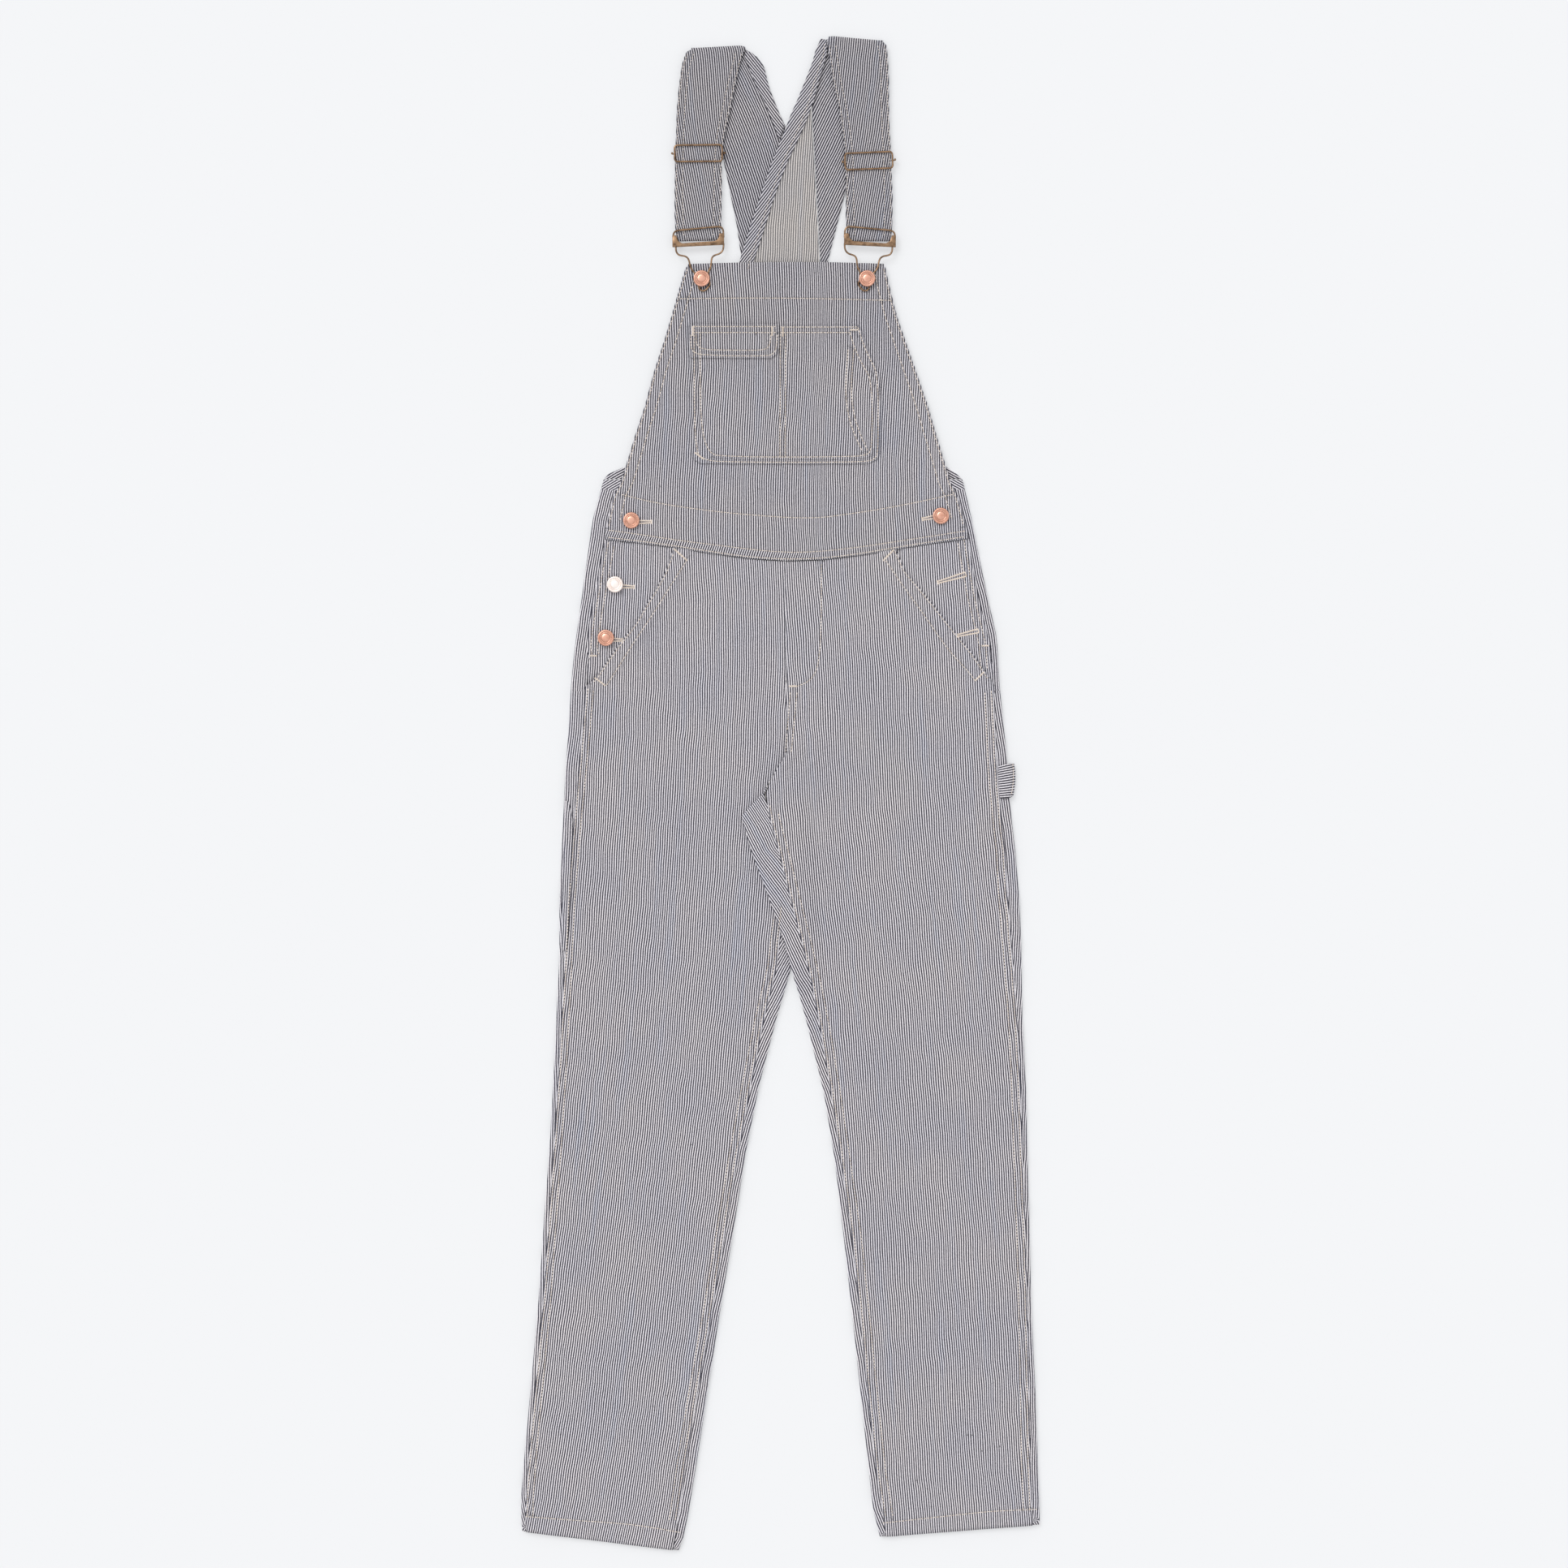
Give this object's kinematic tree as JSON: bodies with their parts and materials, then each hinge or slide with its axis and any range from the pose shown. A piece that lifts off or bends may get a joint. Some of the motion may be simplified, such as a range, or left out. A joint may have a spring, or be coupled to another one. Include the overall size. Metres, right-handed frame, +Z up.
{
  "type": "bib dungarees",
  "caption": "Hickory-stripe denim bib dungarees laid flat, front up, with crossed back straps, wire hook fasteners, tack buttons, a bib pocket and slanted hip pockets.",
  "frame": {"origin": "centre of the bounding box's bottom, on the surface that the garment lies on", "axes": "+Y up the garment from the hems to the shoulders, +Z up off the surface through the front, +X towards the wearer's left"},
  "size_m": [0.5105, 1.4916, 0.0098],
  "materials": {
    "striped_denim": "matte cotton twill with narrow indigo and cream stripes along the cloth's length",
    "denim_inside": "matte inner side of the same twill, paler and with faint stripes",
    "old_brass": "antique-plated round wire and folded sheet, worn brighter on the high edges",
    "copper": "pressed copper-plated tack button heads with plain rings"
  },
  "bodies": {
    "root": {"back_leg_r": "striped_denim", "back_leg_l": "striped_denim", "front_leg_r": "striped_denim", "front_leg_l": "striped_denim", "hip_facing_r": "striped_denim", "hip_facing_l": "striped_denim", "bib_front": "striped_denim", "bib_pocket": "striped_denim", "bib_pocket_flap": "striped_denim", "neck_band_r": "striped_denim", "neck_band_l": "striped_denim", "strap_r": "striped_denim", "strap_l": "striped_denim", "hammer_loop": "striped_denim", "tool_pocket": "striped_denim", "back_bib": "denim_inside", "slider_r": "old_brass", "slider_r_bar": "old_brass", "slider_l": "old_brass", "slider_l_bar": "old_brass", "buckle_frame_r": "old_brass", "buckle_bar_r": "old_brass", "buckle_hook_r": "old_brass", "buckle_frame_l": "old_brass", "buckle_bar_l": "old_brass", "buckle_hook_l": "old_brass", "bib_button_r": "copper", "bib_button_l": "copper", "waist_button_r": "copper", "waist_button_l": "copper", "side_button_upper": "copper", "side_button_lower": "copper"}
  },
  "joints": []
}
